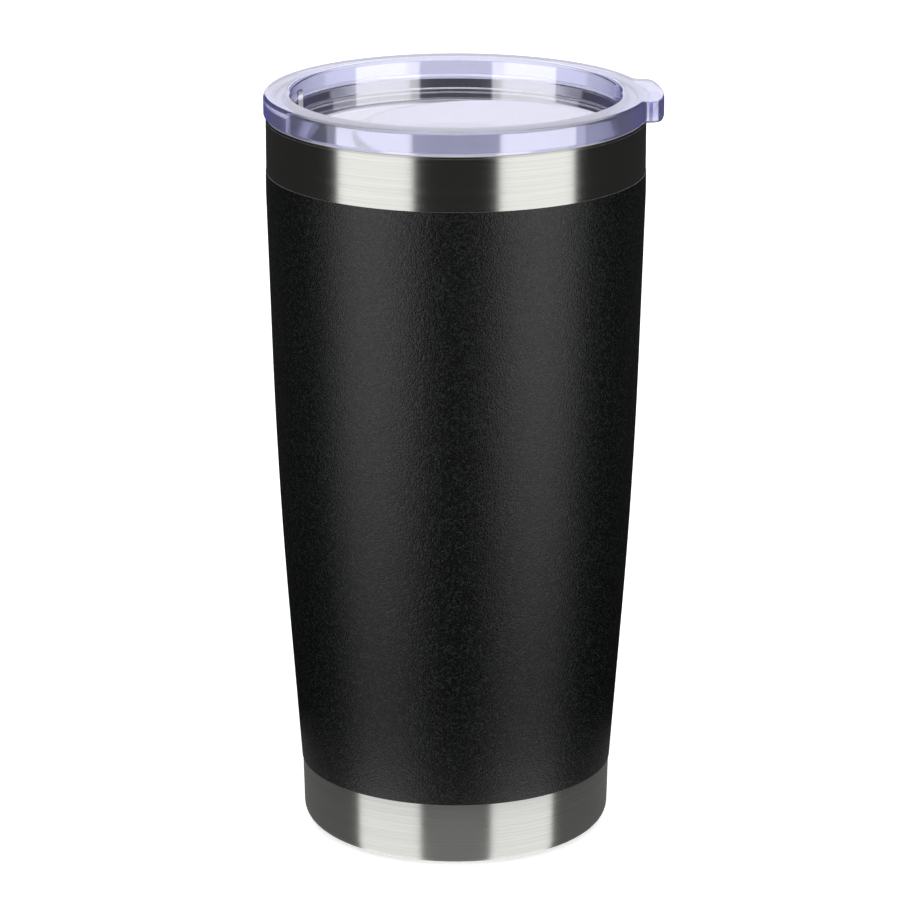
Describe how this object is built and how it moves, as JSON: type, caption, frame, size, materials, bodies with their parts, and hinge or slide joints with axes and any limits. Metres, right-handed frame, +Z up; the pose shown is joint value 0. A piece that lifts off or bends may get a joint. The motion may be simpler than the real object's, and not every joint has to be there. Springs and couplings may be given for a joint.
{
  "type": "insulated tumbler",
  "caption": "Double-wall vacuum tumbler with a powder-coated body, bare steel neck and base bands, and a clear press-in lid with a pull tab and an open sip slot.",
  "frame": {"origin": "on the tumbler's axis, on the plane that its standing ring rests on; the centre of the slightly recessed base cover is 0.8 mm above it", "axes": "+Z up along the tumbler's axis, +X towards the lid's pull tab, -X towards the sip opening, +Y to the left when facing the tab"},
  "size_m": [0.0913, 0.0878, 0.175],
  "materials": {
    "outer_steel": "satin",
    "inner_steel": "satin",
    "powder_coat": "matte",
    "foil": "polished",
    "getter": "matte",
    "seal_glass": "gloss",
    "clear_lid": "gloss",
    "silicone": "matte"
  },
  "bodies": {
    "cup": {"outer_shell": "outer_steel", "powder_coat": "powder_coat", "inner_liner": "inner_steel", "inner_bottom": "inner_steel", "radiation_foil": "foil", "getter_holder": "outer_steel", "getter_pellet": "getter", "base_cap": "outer_steel", "seal_bead": "seal_glass", "base_cover": "outer_steel"},
    "gasket": {"lid_gasket": "silicone"},
    "lid": {"lid_body": "clear_lid"}
  },
  "joints": [
    {"name": "lid_lift", "type": "slide", "parent": "cup", "child": "gasket", "axis": [0, 0, 1], "range_m": [0, 0.12]},
    {"name": "lid_turn", "type": "hinge", "parent": "gasket", "child": "lid", "pos_m": [0, 0, 0.1695], "axis": [0, 0, 1], "continuous": true}
  ]
}
